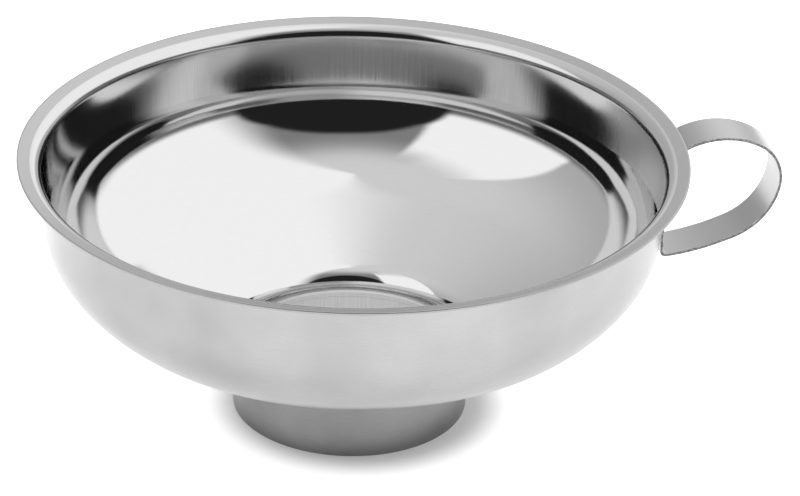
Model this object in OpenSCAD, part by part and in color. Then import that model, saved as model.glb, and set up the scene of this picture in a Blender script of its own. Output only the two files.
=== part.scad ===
// Canning funnel in stainless sheet steel: a pressed bowl, a straight spout
// collar that stands in a jar's mouth, and a strap handle bent into a loop.
// Origin: centre of the spout's bottom edge. +Z up the funnel's axis, +X
// towards the handle. Millimetres.

/* [Bowl] */
// Diameter over the rim flange
rim_d = 152.4; // [148:0.2:156]
// Height of the rim flange's outer edge above the spout's bottom edge
rim_h = 63.7; // [62.5:0.1:66]
// Outside diameter at the top of the bowl's wall
wall_d = 142.6; // [141.8:0.2:143.4]
// Slope of the bowl's wall, measured from level
wall_slope = 86; // [83:0.2:87]
// Thickness of the bowl's sheet
bowl_t = 0.6; // [0.5:0.1:0.8]
// Slope of the conical floor, measured from level
floor_slope = 19.7; // [18:0.1:22]
// Outside radius of the belly that rises from the floor
belly_r = 32; // [29:0.5:35]
// Slope at which the belly hands over to the shoulder
belly_slope = 57.5; // [53:0.5:62]
// Outside radius of the shoulder between the belly and the wall
shoulder_r = 19; // [16:0.5:22]
// Slope of the rim flange, measured from level
flange_slope = 13; // [8:1:18]
// Radius on the underside of the bend between the wall and the flange
flange_bend_r = 2.2; // [1.8:0.1:2.5]

/* [Spout] */
// Outside diameter of the spout collar
spout_d = 54.4; // [53:0.2:56]
// Thickness of the collar's sheet
spout_t = 0.6; // [0.5:0.1:0.8]
// Height of the collar tube
spout_h = 14; // [12:0.5:15]
// Radius of the polished bend where the floor turns down into the spout
throat_bend_r = 6; // [5:0.5:7]
// Length of the bowl's lip inside the collar
lip_h = 1.2; // [0.8:0.1:2]
// Radius that the seam weld reaches on the bowl's underside
seam_reach_r = 28; // [27.8:0.1:28.6]

/* [Handle] */
// Width of the handle strap
strap_w = 10.8; // [10:0.2:12]
// Thickness of the handle strap
strap_t = 0.7; // [0.6:0.1:0.9]
// Radius of the loop's long lower arm
lower_arm_r = 59; // [50:1:70]
// Radius of the loop's lower outer bend
lower_bend_r = 16; // [14:0.5:18]
// Radius of the loop's upper outer bend
upper_bend_r = 10; // [9:0.5:11]
// Radius of the loop's upper arm
upper_arm_r = 19; // [17:0.5:21]
// Height at which the lower arm leaves the strap's base plate
loop_z = 35.3; // [34.3:0.1:36.3]
// Height of the top end of the strap's base plate
plate_top_z = 60.5; // [60:0.1:60.7]
// Length of the end tab that overlaps the base plate
tab_l = 8; // [6:0.5:10]
// Diameter of each spot weld
weld_d = 3.2; // [2.5:0.1:4]
// Distance between the centres of the two spot welds
weld_pitch = 4.4; // [4.2:0.1:5]
// Height of the spot welds
weld_z = 58.4; // [58:0.1:58.6]

/* [Hidden] */

ROUND = 240;      // sides drawn on a turned shape
ARC_STEPS = 16;   // chords in each arc of a profile
SEAT_GAP = 0.2;   // gap between the base plate and the top of the bowl's wall
LAP_GAP = 0.1;    // gap between the strap's two overlapped ends
END_BEND_R = 1.1; // mid-line radius of the strap's tight end bends

rim_r = rim_d / 2;
wall_r = wall_d / 2;
spout_r = spout_d / 2;
bore_r = spout_r - spout_t;
lip_r = bore_r - bowl_t;

// A direction at a slope, and the normal on its upper or inner side
function along(slope) = [cos(slope), sin(slope)];
function normal(slope) = [-sin(slope), cos(slope)];

// Points of an arc about centre c as its tangent turns from slope s0 to s1:
// a hollow arc has its centre above the sheet, a crown below it
function hollow_arc(c, r, s0, s1) =
    [for (k = [0 : ARC_STEPS]) c - r * normal(s0 + (s1 - s0) * k / ARC_STEPS)];
function crown_arc(c, r, s0, s1) =
    [for (k = [0 : ARC_STEPS]) c + r * normal(s0 + (s1 - s0) * k / ARC_STEPS)];
function flip(points) = [for (k = [len(points) - 1 : -1 : 0]) points[k]];

// Centre of the bend from the spout lip up to the floor
throat_c = [lip_r + throat_bend_r, spout_h];
// Centre of the bend from the wall out to the flange
flange_c_x = wall_r + flange_bend_r * sin(wall_slope);
flange_top_r = flange_bend_r + bowl_t;
flange_c = [flange_c_x,
            rim_h - (rim_r - flange_c_x + flange_top_r * sin(flange_slope)) * tan(flange_slope)
            - flange_top_r * cos(flange_slope)];

// Underside of the floor and wall: two straight runs joined by the belly
// and shoulder arcs. The runs' lengths close the gap between the two bends.
floor_start = throat_c + (throat_bend_r - bowl_t) * normal(floor_slope);
wall_end = flange_c + flange_bend_r * normal(wall_slope);
arcs_span = belly_r * (normal(floor_slope) - normal(belly_slope))
          + shoulder_r * (normal(belly_slope) - normal(wall_slope));
gap = wall_end - floor_start - arcs_span;
floor_run = (gap[0] * sin(wall_slope) - gap[1] * cos(wall_slope)) / sin(wall_slope - floor_slope);
belly_c = floor_start + floor_run * along(floor_slope) + belly_r * normal(floor_slope);
shoulder_c = belly_c + (shoulder_r - belly_r) * normal(belly_slope);

// One face of the bowl's sheet, from the lip to the flange's edge: lift is 0
// on the underside and the sheet's thickness on the inside
function bowl_face(lift) = concat(
    [[bore_r - lift, spout_h - lip_h]],
    crown_arc(throat_c, throat_bend_r - bowl_t + lift, 90, floor_slope),
    hollow_arc(belly_c, belly_r - lift, floor_slope, belly_slope),
    hollow_arc(shoulder_c, shoulder_r - lift, belly_slope, wall_slope),
    crown_arc(flange_c, flange_bend_r + lift, wall_slope, flange_slope),
    [[rim_r, rim_h - (bowl_t - lift) / cos(flange_slope)]]);

// The strap's mid-line in the XZ plane runs from the top of its base plate
// down, round the loop in four tangent arcs, and back down the end tab
plate_x = wall_r + SEAT_GAP + strap_t / 2;
tab_x = plate_x + strap_t + LAP_GAP;
arm_radii = [lower_arm_r, lower_bend_r, upper_bend_r, upper_arm_r];
arm_turns = [16.4, 59, 70, 55.5];
arm_heading = 5.9; // slope of the lower arm where it leaves the base plate
LOOP_STEP = 4;     // most degrees of turn between two points of the strap

function arc_end(p, h, r, turn) = p + r * (normal(h) - normal(h + turn));
function arm_heading_at(k) = k == 0 ? arm_heading : arm_heading_at(k - 1) + arm_turns[k - 1];
function arm_point_at(k) = k == 0
    ? [plate_x + END_BEND_R * (1 + sin(arm_heading)), loop_z]
    : arc_end(arm_point_at(k - 1), arm_heading_at(k - 1), arm_radii[k - 1], arm_turns[k - 1]);

last = len(arm_turns);
arm_end = arm_point_at(last);
end_heading = arm_heading_at(last);
// The upper arm runs straight to where its end bend turns it down onto the tab
tab_bend_c_x = tab_x + END_BEND_R;
end_run = (tab_bend_c_x - END_BEND_R * normal(end_heading)[0] - arm_end[0]) / cos(end_heading);
tab_bend_start = arm_end + end_run * along(end_heading);
corner_start = [plate_x, loop_z + END_BEND_R * cos(arm_heading)];

// Each entry is [point, heading, radius, turn] of one arc of the strap
strap_arcs = concat(
    [[corner_start, -90, END_BEND_R, 90 + arm_heading]],
    [for (k = [0 : last - 1]) [arm_point_at(k), arm_heading_at(k), arm_radii[k], arm_turns[k]]],
    [[tab_bend_start, end_heading, END_BEND_R, 270 - end_heading]]);

// The strap's mid-line moved sideways by side, as a list of points
function arc_side(a, side) =
    let (steps = ceil(a[3] / LOOP_STEP), c = a[0] + a[2] * normal(a[1]))
    [for (k = [0 : steps]) c - (a[2] + side) * normal(a[1] + a[3] * k / steps)];
tab_end_z = tab_bend_start[1] + END_BEND_R * (normal(end_heading) - normal(270))[1] - tab_l;
function strap_side(side) = concat(
    [[plate_x - side, plate_top_z]],
    [for (a = strap_arcs) each arc_side(a, side)],
    [[tab_x - side, tab_end_z]]);

module turned(points, sides = ROUND) {
    rotate_extrude($fn = sides)
        polygon(points);
}

module bowl() {
    color("gainsboro")
        turned(concat(bowl_face(0), flip(bowl_face(bowl_t))));
}

module spout_collar() {
    color("darkgray")
        difference() {
            cylinder(h = spout_h, r = spout_r, $fn = ROUND);
            translate([0, 0, -1])
                cylinder(h = spout_h + 2, r = bore_r, $fn = ROUND);
        }
}

// Fillet of weld metal between the collar's top edge and the throat bend
module collar_seam_weld() {
    under_r = throat_bend_r - bowl_t;
    reach = asin((throat_c[0] - seam_reach_r) / under_r);
    color("gray")
        turned(concat([[spout_r, spout_h]], crown_arc(throat_c, under_r, 90, reach)));
}

module handle_strap() {
    color("silver")
        rotate([90, 0, 0])
            linear_extrude(height = strap_w, center = true)
                polygon(concat(strap_side(strap_t / 2), flip(strap_side(-strap_t / 2))));
}

// Two round welds side by side, between the planes x0 and x1
module weld_pair(x0, x1) {
    for (side = [-1, 1])
        translate([x0, side * weld_pitch / 2, weld_z])
            rotate([0, 90, 0])
                cylinder(h = x1 - x0, d = weld_d, $fn = 96);
}

// Welds that hold the base plate to the bowl's wall, shaped to its outside
module wall_spot_welds() {
    wall_bottom_z = shoulder_c[1] - shoulder_r * normal(wall_slope)[1];
    wall_bottom_r = wall_end[0] - (wall_end[1] - wall_bottom_z) / tan(wall_slope);
    color("dimgray")
        difference() {
            weld_pair(wall_r - 1, plate_x - strap_t / 2);
            turned(
                [[0, wall_bottom_z], [wall_bottom_r, wall_bottom_z], wall_end, [0, wall_end[1]]],
                4 * ROUND);
        }
}

// Welds between the base plate and the end tab that overlaps it
module strap_overlap_welds() {
    color("dimgray")
        weld_pair(plate_x + strap_t / 2, tab_x - strap_t / 2);
}

bowl();
spout_collar();
collar_seam_weld();
handle_strap();
wall_spot_welds();
strap_overlap_welds();
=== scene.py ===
import math

import bpy
from mathutils import Matrix, Vector, noise


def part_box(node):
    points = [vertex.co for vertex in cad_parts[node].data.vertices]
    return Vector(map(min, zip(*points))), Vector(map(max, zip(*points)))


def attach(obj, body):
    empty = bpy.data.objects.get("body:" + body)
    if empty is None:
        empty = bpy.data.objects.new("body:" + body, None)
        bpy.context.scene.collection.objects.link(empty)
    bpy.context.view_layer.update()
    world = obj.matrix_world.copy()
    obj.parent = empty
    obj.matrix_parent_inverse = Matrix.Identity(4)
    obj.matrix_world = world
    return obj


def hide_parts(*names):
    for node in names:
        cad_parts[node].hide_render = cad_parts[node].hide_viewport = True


# A canning funnel in stainless steel: a polished bowl with a satin outside, a satin spout
# collar, and a sheared strap bent into a handle. Profiles are worked out in millimetres.
MM = 0.001

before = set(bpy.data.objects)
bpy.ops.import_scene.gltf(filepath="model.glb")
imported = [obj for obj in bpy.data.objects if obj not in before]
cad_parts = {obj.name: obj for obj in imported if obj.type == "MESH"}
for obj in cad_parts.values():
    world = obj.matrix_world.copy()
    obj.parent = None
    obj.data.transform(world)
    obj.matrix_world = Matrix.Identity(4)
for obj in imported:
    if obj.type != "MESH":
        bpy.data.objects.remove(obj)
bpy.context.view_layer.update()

# ---------------------------------------------------------------- sizes
# The outer ones are read from the frame, and the rest are the CAD's own.

bowl_low, bowl_high = (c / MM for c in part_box("bowl"))
spout_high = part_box("spout_collar")[1] / MM
strap_low, strap_high = (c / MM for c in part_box("handle_strap"))

RIM_R, RIM_H = bowl_high.x, bowl_high.z
SPOUT_R, SPOUT_H = spout_high.x, spout_high.z
LIP_Z = bowl_low.z
SHEET = 0.6                     # thickness of the bowl's and the collar's sheet
BORE_R = SPOUT_R - SHEET
LIP_R = BORE_R - SHEET
STRAP_W = strap_high.y - strap_low.y
STRAP_T = 0.7
SEAT_GAP = 0.2                  # between the base plate and the top of the bowl's wall
LAP_GAP = 0.1                   # between the strap's two overlapped ends
PLATE_X = strap_low.x + STRAP_T / 2
TAB_X = PLATE_X + STRAP_T + LAP_GAP
WALL_R = PLATE_X - STRAP_T / 2 - SEAT_GAP   # outside radius at the top of the bowl's wall

# The bowl's section: slopes in degrees from level, radii on the underside
WALL_SLOPE, FLOOR_SLOPE, BELLY_SLOPE, FLANGE_SLOPE = 86.0, 19.7, 57.5, 13.0
BELLY_R, SHOULDER_R, FLANGE_BEND_R = 32.0, 19.0, 2.2
THROAT_BEND_R = 6.0             # on the upper side

# The two spot welds behind the handle: half the distance between them, and their height
WELD_Y, WELD_Z = 2.2, 58.4

# ---------------------------------------------------------------- small helpers


def sine(degrees):
    return math.sin(math.radians(degrees))


def cosine(degrees):
    return math.cos(math.radians(degrees))


def tangent(degrees):
    return math.tan(math.radians(degrees))


def direction(slope):
    return Vector((cosine(slope), sine(slope)))


def normal(slope):
    return Vector((-sine(slope), cosine(slope)))


def arc(centre, radius, start, end, steps):
    """Points of an arc whose normals turn from slope start to slope end."""
    return [centre + radius * normal(start + (end - start) * k / steps) for k in range(steps + 1)]


def line(a, b, steps):
    """Points between a and b, without b."""
    return [a.lerp(b, k / steps) for k in range(steps)]


def smooth(x, start, end):
    """Climbs gently from 0 at start to 1 at end."""
    x = min(1.0, max(0.0, (x - start) / (end - start)))
    return x * x * (3 - 2 * x)


def make_object(name, verts, faces, materials, slots=None, inside=None):
    """A smooth-shaded object from points in millimetres. inside names a CAD node to keep within."""
    if inside:
        low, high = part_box(inside)
        points = [[min(max(c * MM, a), b) for c, a, b in zip(v, low, high)] for v in verts]
    else:
        points = [Vector(v) * MM for v in verts]
    mesh = bpy.data.meshes.new(name)
    mesh.from_pydata(points, [], faces)
    for m in materials:
        mesh.materials.append(m)
    if slots:
        mesh.polygons.foreach_set("material_index", slots)
    mesh.polygons.foreach_set("use_smooth", [True] * len(faces))
    mesh.validate()
    mesh.update()
    obj = bpy.data.objects.new(name, mesh)
    bpy.context.scene.collection.objects.link(obj)
    return obj


def keep_sharp(obj, degrees):
    """Splits the shading where two faces meet at more than this angle."""
    limit = math.radians(degrees)
    mesh = obj.data
    sums = {}
    for poly in mesh.polygons:
        for key in poly.edge_keys:
            sums.setdefault(key, []).append(poly.normal.copy())
    sharp = [False] * len(mesh.edges)
    for edge in mesh.edges:
        pair = sums.get(edge.key, [])
        if len(pair) == 2 and pair[0].angle(pair[1], 0.0) > limit:
            sharp[edge.index] = True
    flag = mesh.attributes.new("sharp_edge", "BOOLEAN", "EDGE")
    flag.data.foreach_set("value", sharp)


def lathe(section, angles, shape=None):
    """Turns a closed section of (radius, height) round the Z axis. shape may move a point."""
    count = len(section)
    verts = []
    for a in angles:
        for k, (r, z) in enumerate(section):
            if shape:
                r, z = shape(r, z, a, k)
            verts.append((r * math.cos(a), r * math.sin(a), z))
    faces = []
    for j in range(len(angles)):
        here, there = j * count, (j + 1) % len(angles) * count
        for i in range(count):
            after = (i + 1) % count
            faces.append((here + i, there + i, there + after, here + after))
    return verts, faces


def turn_angles(coarse, fine=0.0, fine_step=1.0):
    """Angles round the axis, closer together within fine degrees of the handle."""
    if not fine:
        return [2 * math.pi * k / coarse for k in range(coarse)]
    near = round(2 * fine / fine_step)
    far = round(coarse * (360 - 2 * fine) / 360)
    out = [-fine + fine_step * k for k in range(near)]
    out += [fine + (360 - 2 * fine) * k / far for k in range(far)]
    return [math.radians(a) for a in out]


# ---------------------------------------------------------------- materials


class Nodes:
    """A short way to write the node tree of a material or a world."""

    def __init__(self, owner):
        self.owner = owner
        owner.use_nodes = True
        self.tree = owner.node_tree
        self.tree.nodes.clear()

    def put(self, value, socket):
        """Links another node's socket to this one, or sets a plain value on it."""
        if isinstance(value, bpy.types.NodeSocket):
            self.tree.links.new(value, socket)
        else:
            socket.default_value = value

    def add(self, kind, settings=None, **inputs):
        """A node with these settings. Inputs go by name, or by place as i0, i1 and so on."""
        node = self.tree.nodes.new(kind)
        for key, value in (settings or {}).items():
            setattr(node, key, value)
        for key, value in inputs.items():
            by_place = key[0] == "i" and key[1:].isdigit()
            self.put(value, node.inputs[int(key[1:]) if by_place else key])
        return node

    def math(self, operation, *values):
        node = self.add("ShaderNodeMath", {"operation": operation})
        for k, value in enumerate(values):
            self.put(value, node.inputs[k])
        return node.outputs[0]

    def ramp(self, value, low, high, to_low=0.0, to_high=1.0):
        """Goes smoothly from to_low, where the value is low, to to_high, where it is high."""
        node = self.add("ShaderNodeMapRange", {"interpolation_type": "SMOOTHSTEP"}, Value=value)
        limits = {"From Min": low, "From Max": high, "To Min": to_low, "To Max": to_high}
        for key, limit in limits.items():
            node.inputs[key].default_value = limit
        return node.outputs[0]

    def mix(self, factor, a, b):
        """a where the factor is 0, and b where it is 1."""
        node = self.add("ShaderNodeMix", {"data_type": "FLOAT"}, i0=factor, i2=a, i3=b)
        return node.outputs[0]

    def grey(self, value):
        node = self.add("ShaderNodeCombineColor")
        for socket in node.inputs[:3]:
            self.tree.links.new(value, socket)
        return node.outputs[0]

    def finish(self, shader, kind="ShaderNodeOutputMaterial"):
        self.add(kind, Surface=shader)
        return self.owner


def new_material(name):
    return Nodes(bpy.data.materials.new(name))


def around_axis(n):
    """The object's own point, its angle round the axis in radians, its radius and its height."""
    point = n.add("ShaderNodeTexCoord").outputs["Object"]
    split = n.add("ShaderNodeSeparateXYZ", Vector=point)
    x, y, z = split.outputs
    radius = n.math("SQRT", n.math("ADD", n.math("MULTIPLY", x, x), n.math("MULTIPLY", y, y)))
    angle = n.math("ARCTAN2", y, x)
    return point, angle, radius, z


AROUND_R = 0.07                 # metres: turns an angle into a distance round the bowl
LINE_STRETCH = 0.02             # a line varies this much more slowly along its length
HEIGHT_SHARE = 1.7              # of height against radius, so that lines stay fine up the wall
LINE_DETAIL, BROAD_DETAIL = 3.0, 2.0
BROAD_SCALE = 45.0              # of the blotches, per metre
BUMP_DISTANCE = 0.00002         # metres
PATCH_START, PATCH_END = 0.25, 0.5   # radians to each side of the handle


def steel(name, colour, roughness, streak, bump, streak_scale, blotch=0.05, pattern="round",
          contrast=0.06, cloud=0.0, patch=0.0):
    """Stainless steel with fine lines round the axis (round) or down it (length), or with grain.

    streak and blotch vary the roughness; contrast and cloud vary the colour the same two ways.
    patch makes the metal rougher and paler to each side of the handle.
    """
    n = new_material(name)
    point, angle, radius, z = around_axis(n)
    around = n.math("MULTIPLY", angle, AROUND_R)
    if pattern == "grain":
        fine = n.add("ShaderNodeTexNoise", Vector=point)
    else:
        if pattern == "length":
            across, along = around, z
        else:
            across, along = n.math("ADD", radius, n.math("MULTIPLY", z, HEIGHT_SHARE)), around
        stretched = n.math("MULTIPLY", along, LINE_STRETCH)
        lines = n.add("ShaderNodeCombineXYZ", X=across, Y=stretched, Z=0.0)
        fine = n.add("ShaderNodeTexNoise", {"noise_dimensions": "2D"}, Vector=lines.outputs[0])
    fine.inputs["Scale"].default_value = streak_scale
    fine.inputs["Detail"].default_value = LINE_DETAIL
    broad = n.add("ShaderNodeTexNoise", Vector=point, Scale=BROAD_SCALE, Detail=BROAD_DETAIL)
    beside_handle = n.ramp(n.math("ABSOLUTE", angle), PATCH_START, PATCH_END, patch, 0.0)

    def varied(middle, by_lines, by_blotches):
        """A value that varies about its middle with the lines and with the blotches."""
        change = n.math("ADD", n.math("MULTIPLY", fine.outputs[0], by_lines),
                        n.math("MULTIPLY", broad.outputs[0], by_blotches))
        value = n.math("ADD", middle - by_lines / 2 - by_blotches / 2, change)
        return n.math("ADD", value, beside_handle)

    rough = varied(roughness, streak, blotch)
    shade = varied(colour, contrast, cloud)
    height = n.add("ShaderNodeBump", Height=fine.outputs[0], Strength=bump, Distance=BUMP_DISTANCE)
    shader = n.add("ShaderNodeBsdfPrincipled", Normal=height.outputs[0], Roughness=rough, Metallic=1.0)
    n.tree.links.new(n.grey(shade), shader.inputs["Base Color"])
    return n.finish(shader.outputs[0])


polished = steel("polished_inside", 0.64, 0.05, 0.03, 0.05, 9000, blotch=0.02)
drawn_wall = steel("drawn_wall", 0.68, 0.08, 0.05, 0.22, 2600, blotch=0.03, pattern="length",
                   contrast=0.12, patch=0.24)
bend_steel = steel("rim_bend", 0.60, 0.12, 0.06, 0.1, 9000, blotch=0.03)
satin = steel("satin_outside", 0.38, 0.26, 0.08, 0.3, 9000, cloud=0.18)
flange_steel = steel("flange_steel", 0.45, 0.34, 0.06, 0.2, 9000, cloud=0.06)
# The collar's outside is set darker than the bowl's satin outside; the extra darkness is painted shade
# for the shadow under the bowl.
collar_out = steel("collar_outside", 0.255, 0.30, 0.10, 0.4, 5000, cloud=0.14, contrast=0.08)
collar_in = steel("collar_inside", 0.60, 0.30, 0.16, 0.8, 3000, pattern="length", contrast=0.3)
bare_edge = steel("cut_edge", 0.36, 0.34, 0.08, 0.3, 20000)

# ---------------------------------------------------------------- the bowl

# The centres of the section's arcs. The floor's straight run closes the gap between them.
throat_c = Vector((LIP_R + THROAT_BEND_R, SPOUT_H))
flange_top_r = FLANGE_BEND_R + SHEET
flange_x = WALL_R + FLANGE_BEND_R * sine(WALL_SLOPE)
flange_rise = (RIM_R - flange_x + flange_top_r * sine(FLANGE_SLOPE)) * tangent(FLANGE_SLOPE)
flange_c = Vector((flange_x, RIM_H - flange_rise - flange_top_r * cosine(FLANGE_SLOPE)))
floor_start = throat_c + (THROAT_BEND_R - SHEET) * normal(FLOOR_SLOPE)
wall_end = flange_c + FLANGE_BEND_R * normal(WALL_SLOPE)
gap = wall_end - floor_start - BELLY_R * (normal(FLOOR_SLOPE) - normal(BELLY_SLOPE)) \
    - SHOULDER_R * (normal(BELLY_SLOPE) - normal(WALL_SLOPE))
floor_run = (gap.x * sine(WALL_SLOPE) - gap.y * cosine(WALL_SLOPE)) / sine(WALL_SLOPE - FLOOR_SLOPE)
belly_c = floor_start + floor_run * direction(FLOOR_SLOPE) + BELLY_R * normal(FLOOR_SLOPE)
shoulder_c = belly_c + (SHOULDER_R - BELLY_R) * normal(BELLY_SLOPE)

# Finishes, in the order of the bowl's materials
INSIDE, WALL, BEND, FLANGE, EDGE, OUTSIDE, LIP = range(7)

# Steps of the section's parts. The first six are multiplied by a face's detail.
THROAT_STEPS, FLOOR_STEPS, BELLY_STEPS, SHOULDER_STEPS, WALL_STEPS, RIM_STEPS = 26, 16, 22, 12, 14, 14
FLANGE_STEPS, LIP_STEPS = 8, 3

BOWL_CORNER = 0.09              # both cut edges, at the rim and the lip, have corners broken by this
WAVE_DEPTH = 0.035              # of the drawn sheet's slight unevenness
WAVE_AROUND, WAVE_UP = 2.2, 0.045    # how fast it varies round the axis and up it
WAVE_FROM, WAVE_TO = (20, 32), (59, 62)    # heights over which it sets in and dies away
MARK_HEIGHT, MARK_R = 0.02, 2.0  # a spot weld leaves a faint raised mark inside the wall
MARK_REACH = 0.16               # radians to each side of the handle


def bowl_face(lift, detail):
    """One face of the sheet from the lip to the rim, with each point's finish.

    lift is 0 on the underside and the sheet's thickness on the inside.
    """
    lip = Vector((BORE_R - lift, LIP_Z))
    throat = arc(throat_c, THROAT_BEND_R - SHEET + lift, 90, FLOOR_SLOPE, THROAT_STEPS * detail)
    belly = arc(belly_c, lift - BELLY_R, FLOOR_SLOPE, BELLY_SLOPE, BELLY_STEPS * detail)
    shoulder = arc(shoulder_c, lift - SHOULDER_R, BELLY_SLOPE, WALL_SLOPE, SHOULDER_STEPS * detail)
    rim_bend = arc(flange_c, FLANGE_BEND_R + lift, WALL_SLOPE, FLANGE_SLOPE, RIM_STEPS * detail)
    rim = Vector((RIM_R, RIM_H - (SHEET - lift) / cosine(FLANGE_SLOPE)))
    floor = line(throat[-1], belly[0], FLOOR_STEPS * detail)[1:]
    wall = line(shoulder[-1], rim_bend[0], WALL_STEPS * detail)[1:]
    flange = line(rim_bend[-1], rim, FLANGE_STEPS)[1:]
    parts = [(line(lip, throat[0], LIP_STEPS), LIP), (throat, INSIDE), (floor, INSIDE), (belly, INSIDE),
             (shoulder[1:], INSIDE), (wall, WALL), (rim_bend, BEND), (flange, FLANGE), ([rim], EDGE)]
    return [(p, zone) for points, zone in parts for p in points]


def section_normals(points):
    """The way out of the metal at each point of the closed section, which runs clockwise."""
    out = []
    count = len(points)
    for k in range(count):
        t = points[(k + 1) % count] - points[k - 1]
        out.append(Vector((-t.y, t.x)).normalized())
    return out


def make_bowl():
    inner = bowl_face(SHEET, 2)
    outer = bowl_face(0.0, 1)[::-1]
    outer = [(p, zone if zone in (LIP, EDGE) else OUTSIDE) for p, zone in outer]
    points = [p for p, zone in inner + outer]
    zones = [zone for p, zone in inner + outer]
    at_rim = len(inner)
    ring, ring_zone = [], []
    for k, (p, zone) in enumerate(zip(points, zones)):
        before, after = points[k - 1], points[(k + 1) % len(points)]
        if k in (0, at_rim - 1, at_rim, len(points) - 1):
            for q in (before, after):
                ring.append(p + (q - p).normalized() * BOWL_CORNER)
                ring_zone.append(EDGE if zone == EDGE else LIP)
        else:
            ring.append(p)
            ring_zone.append(zone)
    normals = section_normals(ring)

    def shape(r, z, a, k):
        """Moves a point for the sheet's unevenness and for the marks of the two spot welds."""
        side = normals[k]
        spot = Vector((math.cos(a) * WAVE_AROUND, math.sin(a) * WAVE_AROUND, z * WAVE_UP))
        strength = smooth(z, *WAVE_FROM) * (1 - smooth(z, *WAVE_TO))
        move = -WAVE_DEPTH * noise.noise(spot) * strength
        from_handle = abs(a if a < math.pi else a - 2 * math.pi)
        if ring_zone[k] != OUTSIDE and from_handle < MARK_REACH:
            y = r * math.sin(a)
            for weld_y in (-WELD_Y, WELD_Y):
                away = math.hypot(y - weld_y, z - WELD_Z)
                move += MARK_HEIGHT * math.exp(-(away / MARK_R) ** 2)
        return r + side.x * move, z + side.y * move

    angles = turn_angles(400, fine=9.0, fine_step=0.25)
    section = [(p.x, p.y) for p in ring]
    verts, faces = lathe(section, angles, shape)
    finishes = [polished, drawn_wall, bend_steel, flange_steel, bare_edge, satin, collar_in]
    return make_object("bowl_shell", verts, faces, finishes, ring_zone * len(angles), "bowl")


bowl = make_bowl()
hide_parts("bowl")
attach(bowl, "root")

# ---------------------------------------------------------------- the spout collar


def make_collar():
    """The tube, with its cut corners broken. It is split into steps up both of its faces."""
    corner, low, high = 0.12, 0.0, SPOUT_H
    outline = [(BORE_R, low + corner), (BORE_R, high - corner), (BORE_R + corner, high),
               (SPOUT_R - corner, high), (SPOUT_R, high - corner), (SPOUT_R, low + corner),
               (SPOUT_R - corner, low), (BORE_R + corner, low)]
    inner, outer, cut = range(3)
    steps = [14, 1, 1, 1, 14, 1, 1, 1]
    finishes = [inner, cut, cut, cut, outer, cut, cut, cut]
    section, slots = [], []
    for k, count in enumerate(steps):
        a, b = Vector(outline[k]), Vector(outline[(k + 1) % len(outline)])
        section += [(p.x, p.y) for p in line(a, b, count)]
        slots += [finishes[k]] * count
    angles = turn_angles(320)
    verts, faces = lathe(section, angles)
    tube = make_object("spout_tube", verts, faces, [collar_in, collar_out, bare_edge],
                       slots * len(angles), "spout_collar")
    keep_sharp(tube, 35)
    return tube


collar = make_collar()
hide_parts("spout_collar")
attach(collar, "root")

# ---------------------------------------------------------------- the handle strap

ARM_RADII = (59.0, 16.0, 10.0, 19.0)  # lower arm, lower bend, upper bend and upper arm
ARM_TURNS = (16.4, 59.0, 70.0, 55.5)  # degrees that each of them turns
ARM_HEADING = 5.9               # slope of the lower arm where it leaves the base plate
END_BEND_R = 1.1                # of the tight bend at each end of the loop
LOOP_Z = 35.3                   # height at which the lower arm leaves the base plate
PLATE_TOP_Z = 60.5
TAB_LENGTH = 8.0
DOWN, DOWN_AGAIN = -90, 270     # headings: the strap turns a full circle on its way

STRAP_STEP = 0.2                # between two rows of points along the strap
STRAP_CORNER = 0.07
FACE_STEPS = 10                 # across the strap's broad faces
SIDE_POINT = 0.1                # from the mid-line to each extra point over a sheared side

# The teeth along a sheared side are at most about twice TOOTH_DEPTH. Both sizes of tooth give
# how fast the metal varies along the strap and across its thickness, per millimetre.
TOOTH_DEPTH, TOOTH_LEVEL = 0.14, 0.5
COARSE_TEETH, FINE_TEETH, FINE_SHARE = (2.3, 1.5), (5.1, 3.0), 0.6
FINE_OFFSET = 9                 # keeps the fine teeth from repeating the coarse ones


def strap_path(step):
    """Mid-line points and headings of the strap, from the base plate's top round to the tab's end."""
    def along_line(a, b, heading):
        count = max(1, round((b - a).length / step))
        return [(a.lerp(b, k / count), heading) for k in range(count)]

    def along_arc(start, heading, radius, turn):
        centre = start + radius * normal(heading)
        count = max(2, round(radius * math.radians(turn) / step))
        return [(centre - radius * normal(heading + turn * k / count), heading + turn * k / count)
                for k in range(count)], centre - radius * normal(heading + turn)

    corner = Vector((PLATE_X, LOOP_Z + END_BEND_R * cosine(ARM_HEADING)))
    path = along_line(Vector((PLATE_X, PLATE_TOP_Z)), corner, DOWN)
    points, end = along_arc(corner, DOWN, END_BEND_R, ARM_HEADING - DOWN)
    path += points
    heading = ARM_HEADING
    for radius, turn in zip(ARM_RADII, ARM_TURNS):
        points, end = along_arc(end, heading, radius, turn)
        path += points
        heading += turn
    bend_x = TAB_X + END_BEND_R - END_BEND_R * normal(heading).x
    start = end + direction(heading) * (bend_x - end.x) / direction(heading).x
    path += along_line(end, start, heading)
    points, end = along_arc(start, heading, END_BEND_R, DOWN_AGAIN - heading)
    path += points
    tab_end = end - Vector((0, TAB_LENGTH))
    path += along_line(end, tab_end, DOWN_AGAIN)
    return path + [(tab_end, DOWN_AGAIN)]


strap_face = steel("strap_face", 0.46, 0.31, 0.04, 0.1, 16000, cloud=0.05)
strap_edge = steel("sheared_edge", 0.19, 0.46, 0.2, 1.0, 2000, blotch=0.1, pattern="grain",
                   contrast=0.6)


def torn(along, t, w):
    """How far a sheared side falls short: uneven teeth about half a millimetre apart."""
    coarse = noise.noise(Vector((along * COARSE_TEETH[0], t * COARSE_TEETH[1], w)))
    fine = noise.noise(Vector((along * FINE_TEETH[0], t * FINE_TEETH[1], w + FINE_OFFSET)))
    tooth = coarse + FINE_SHARE * fine
    return TOOTH_DEPTH * max(0.0, TOOTH_LEVEL + tooth)


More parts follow.
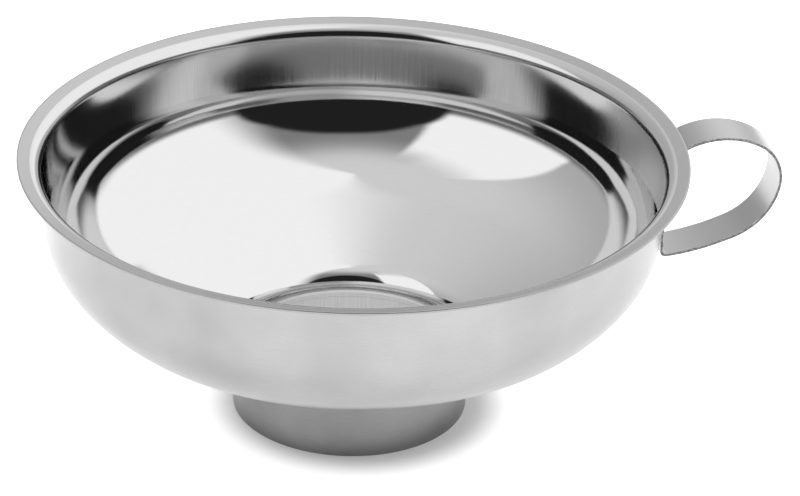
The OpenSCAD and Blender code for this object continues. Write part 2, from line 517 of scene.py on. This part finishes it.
def strap_section():
    """Points across the strap as (width, thickness), with four over each sheared side."""
    half_w, half_t = STRAP_W / 2, STRAP_T / 2
    flat = 2 * half_w - 2 * STRAP_CORNER
    across = [-half_w + STRAP_CORNER + flat * k / FACE_STEPS for k in range(FACE_STEPS + 1)]
    down = (half_t - STRAP_CORNER, SIDE_POINT, -SIDE_POINT, -half_t + STRAP_CORNER)
    return [(w, half_t) for w in across] + [(half_w, t) for t in down] \
        + [(w, -half_t) for w in reversed(across)] + [(-half_w, t) for t in reversed(down)]


def make_strap():
    path = strap_path(STRAP_STEP)
    section = strap_section()
    count = len(section)
    sheared = [abs(w) == STRAP_W / 2 for w, t in section]
    verts = []
    for k, (p, heading) in enumerate(path):
        side = normal(heading)
        for (w, t), is_sheared in zip(section, sheared):
            if is_sheared:
                w -= math.copysign(torn(k * STRAP_STEP, t, w), w)
            verts.append((p.x + side.x * t, w, p.y + side.y * t))
    face_slot, edge_slot = range(2)
    faces, slots = [], []
    for j in range(len(path) - 1):
        here, there = j * count, (j + 1) * count
        for i in range(count):
            after = (i + 1) % count
            faces.append((here + i, here + after, there + after, there + i))
            slots.append(edge_slot if sheared[i] and sheared[after] else face_slot)
    faces.append(tuple(range(count - 1, -1, -1)))
    faces.append(tuple((len(path) - 1) * count + i for i in range(count)))
    slots += [edge_slot, edge_slot]
    band = make_object("handle_band", verts, faces, [strap_face, strap_edge], slots, "handle_strap")
    keep_sharp(band, 30)
    return band


strap = make_strap()
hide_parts("handle_strap")
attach(strap, "root")

# ---------------------------------------------------------------- weld metal and a painted seam shadow

# The welds are dark grey: the weld metal's own colour, and along the collar's seam also a painted shadow
# where the bowl meets the collar.
weld_metal_and_seam_shadow = steel("weld_metal_and_seam_shadow", 0.22, 0.42, 0.1, 0.5, 2500, blotch=0.15, pattern="grain",
                   contrast=0.12)
for name in ("collar_seam_weld", "wall_spot_welds", "strap_overlap_welds"):
    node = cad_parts[name]
    node.data.materials.clear()
    node.data.materials.append(weld_metal_and_seam_shadow)

# ---------------------------------------------------------------- floor

FLOOR_REACH = 20000.0           # millimetres from the centre to each side
PAPER_SHADE, PAPER_CLOUD, CLOUD_SCALE = 0.86, 0.02, 3.0
# The paper glows, painted light which keeps it pale even in the shade under the bowl. The glow is
# weak round the collar's foot, and what is left there reads as the shadow where the collar stands:
# a painted contact shadow, centred a little off the axis towards +X and -Y so that it reaches further
# there.
PAINTED_SHADOW_CENTRE = (0.002, -0.0012, 0.0)
FOOT_R, GLOW_R = 0.0265, 0.037  # metres from that place
PAINTED_SHADOW_GLOW, PAPER_GLOW = 0.13, 0.72


def make_floor():
    n = new_material("studio_floor")
    point = n.add("ShaderNodeTexCoord").outputs["Object"]
    clouds = n.add("ShaderNodeTexNoise", Vector=point, Scale=CLOUD_SCALE)
    shade = n.math("ADD", PAPER_SHADE, n.math("MULTIPLY", clouds.outputs[0], PAPER_CLOUD))
    paper = n.add("ShaderNodeBsdfDiffuse", Color=n.grey(shade))
    # The glow is weakest round the collar's foot, which paints the contact shadow there.
    place = n.add("ShaderNodeVectorMath", {"operation": "SUBTRACT"}, i0=point, i1=PAINTED_SHADOW_CENTRE)
    away = n.add("ShaderNodeVectorMath", {"operation": "LENGTH"}, i0=place.outputs["Vector"])
    strength = n.ramp(away.outputs["Value"], FOOT_R, GLOW_R, PAINTED_SHADOW_GLOW, PAPER_GLOW)
    glow = n.add("ShaderNodeEmission", Strength=strength)
    lit = n.add("ShaderNodeAddShader", i0=paper.outputs[0], i1=glow.outputs[0])
    # Seen from below, the floor is clear, so that the underside can be looked at
    clear = n.add("ShaderNodeBsdfTransparent")
    from_below = n.add("ShaderNodeNewGeometry").outputs["Backfacing"]
    pick = n.add("ShaderNodeMixShader", i0=from_below, i1=lit.outputs[0], i2=clear.outputs[0])
    material = n.finish(pick.outputs[0])
    corners = [(x * FLOOR_REACH, y * FLOOR_REACH, 0) for x, y in ((-1, -1), (1, -1), (1, 1), (-1, 1))]
    floor = make_object("floor", corners, [(0, 1, 2, 3)], [material])


make_floor()

# ---------------------------------------------------------------- studio light

VIEW_TURN = -10.1   # the camera stands this many degrees off the -Y axis, away from the handle

# How bright each part of the studio is
BACK_LIGHT = (0.60, 0.90)       # low down and high up
FRONT_LIGHT = (0.30, 0.88)
ZENITH_LIGHT = 0.92
PANEL_LIGHT = 1.34
SIDE_LIGHT = 0.20               # of the sides near the floor
GAP_LIGHT = 0.02

# Where each part starts and ends, in degrees. Heights are above level. Turns are measured from
# the camera's side of the room, positive towards +X.
BACK_HEIGHTS = (18, 66)
FRONT_MIDDLE, FRONT_EDGE, FRONT_HEIGHTS = 4.0, (44, 62), (50, 82)
ZENITH_HEIGHTS = (60, 86)
RIGHT_MIDDLE, RIGHT_START, RIGHT_END, RIGHT_FOOT = 113.0, (-78.0, -52.0), (51.0, 88.0), (8, 17)
LEFT_START, LEFT_END, LEFT_TOP = (-93.0, -90.0), (-34.0, -29.0), (56, 73)
SIDE_TOP, SIDE_END = (11, 19), (110, 135)
GAP_MIDDLE, GAP_HALF_WIDTH, GAP_TOP = 5.0, 41.0, 51.0
GAP_ACROSS_POWER, GAP_UP_POWER, GAP_EDGE = 2.3, 3.0, (0.9, 1.15)


def make_world():
    """A pale studio: a broad white panel on the right, a smaller one on the left, a dim gap in front."""
    world = bpy.data.worlds.new("studio")
    bpy.context.scene.world = world
    n = Nodes(world)
    split = n.add("ShaderNodeSeparateXYZ", Vector=n.add("ShaderNodeTexCoord").outputs["Generated"])
    x, y, z = split.outputs
    degrees = 180 / math.pi
    height = n.math("MULTIPLY", n.math("ARCSINE", z), degrees)
    front_x, front_y = direction(-90 + VIEW_TURN)
    ahead = n.math("ADD", n.math("MULTIPLY", x, front_x), n.math("MULTIPLY", y, front_y))
    right = n.math("ADD", n.math("MULTIPLY", x, -front_y), n.math("MULTIPLY", y, front_x))
    turn = n.math("MULTIPLY", n.math("ARCTAN2", right, ahead), degrees)

    def rise(value, limits):
        return n.ramp(value, *limits)

    def fall(value, limits):
        return n.ramp(value, *limits, 1.0, 0.0)

    def both(a, b):
        return n.math("MULTIPLY", a, b)

    def away_from(value, middle):
        return n.math("SUBTRACT", value, middle)

    def power(value, exponent):
        return n.math("POWER", n.math("ABSOLUTE", value), exponent)

    # Behind the object and to its left the room is a plain light grey, brighter overhead
    light = n.ramp(height, *BACK_HEIGHTS, *BACK_LIGHT)
    # In front, above the dim gap, it climbs from mid grey
    in_front = fall(n.math("ABSOLUTE", away_from(turn, FRONT_MIDDLE)), FRONT_EDGE)
    light = n.mix(in_front, light, n.ramp(height, *FRONT_HEIGHTS, *FRONT_LIGHT))
    light = n.mix(rise(height, ZENITH_HEIGHTS), light, ZENITH_LIGHT)
    # A broad white panel stands on the right, fading slowly towards the back
    from_right = n.math("WRAP", away_from(turn, RIGHT_MIDDLE), 180.0, -180.0)
    panel = both(rise(from_right, RIGHT_START), fall(from_right, RIGHT_END))
    light = n.mix(both(panel, rise(height, RIGHT_FOOT)), light, PANEL_LIGHT)
    # A smaller one on the left has clean edges
    panel = both(rise(turn, LEFT_START), fall(turn, LEFT_END))
    light = n.mix(both(panel, fall(height, LEFT_TOP)), light, PANEL_LIGHT)
    # Near the floor the room is dim, except behind the object
    low = both(fall(height, SIDE_TOP), fall(n.math("ABSOLUTE", turn), SIDE_END))
    light = n.mix(low, light, SIDE_LIGHT)
    # The dim gap in front has a round-topped outline
    across = power(n.math("DIVIDE", away_from(turn, GAP_MIDDLE), GAP_HALF_WIDTH), GAP_ACROSS_POWER)
    up = power(n.math("DIVIDE", height, GAP_TOP), GAP_UP_POWER)
    light = n.mix(fall(n.math("ADD", across, up), GAP_EDGE), light, GAP_LIGHT)
    back = n.add("ShaderNodeBackground", Color=n.grey(light))
    n.finish(back.outputs[0], "ShaderNodeOutputWorld")


make_world()


def make_light(name, place, aim, size, power, glossy):
    data = bpy.data.lights.new(name, "AREA")
    data.shape = "DISK"
    data.size = size
    data.energy = power
    lamp = bpy.data.objects.new(name, data)
    lamp.location = place
    lamp.rotation_euler = (Vector(aim) - Vector(place)).to_track_quat("-Z", "Y").to_euler()
    lamp.visible_glossy = glossy
    lamp.visible_camera = False
    bpy.context.scene.collection.objects.link(lamp)


make_light("overhead_fill", (0.0, 0.0, 2.2), aim=(0, 0, 0), size=2.6, power=12, glossy=False)

# ---------------------------------------------------------------- camera

CAM_AIM_Z = 0.03            # a point on the axis near mid height
CAM_DISTANCE = 0.87         # from that point
CAM_ELEVATION = 28.0
CAM_PAN, CAM_TILT, CAM_ROLL = -0.7245, -0.5654, 1.17
CAM_LENS, CAM_SENSOR = 169.68, 36.0


def make_camera():
    e, pan, tilt, roll = (math.radians(a) for a in (CAM_ELEVATION, CAM_PAN, CAM_TILT, CAM_ROLL))
    back = Vector((0, -math.cos(e), math.sin(e)))
    side = Vector((1, 0, 0))
    up = Vector((0, math.sin(e), math.cos(e)))
    place = Vector((0, 0, CAM_AIM_Z)) + CAM_DISTANCE * back
    side, back = side * math.cos(pan) - back * math.sin(pan), side * math.sin(pan) + back * math.cos(pan)
    up, back = up * math.cos(tilt) - back * math.sin(tilt), up * math.sin(tilt) + back * math.cos(tilt)
    side, up = side * math.cos(roll) + up * math.sin(roll), up * math.cos(roll) - side * math.sin(roll)
    data = bpy.data.cameras.new("camera")
    data.lens = CAM_LENS
    data.sensor_width = CAM_SENSOR
    camera = bpy.data.objects.new("camera", data)
    bpy.context.scene.collection.objects.link(camera)
    axes = Matrix((side, up, back)).transposed().to_4x4()
    turned = Matrix.Rotation(math.radians(VIEW_TURN), 4, "Z")
    camera.matrix_world = turned @ Matrix.Translation(place) @ axes
    bpy.context.scene.camera = camera


make_camera()
bpy.context.scene.view_settings.view_transform = "Standard"
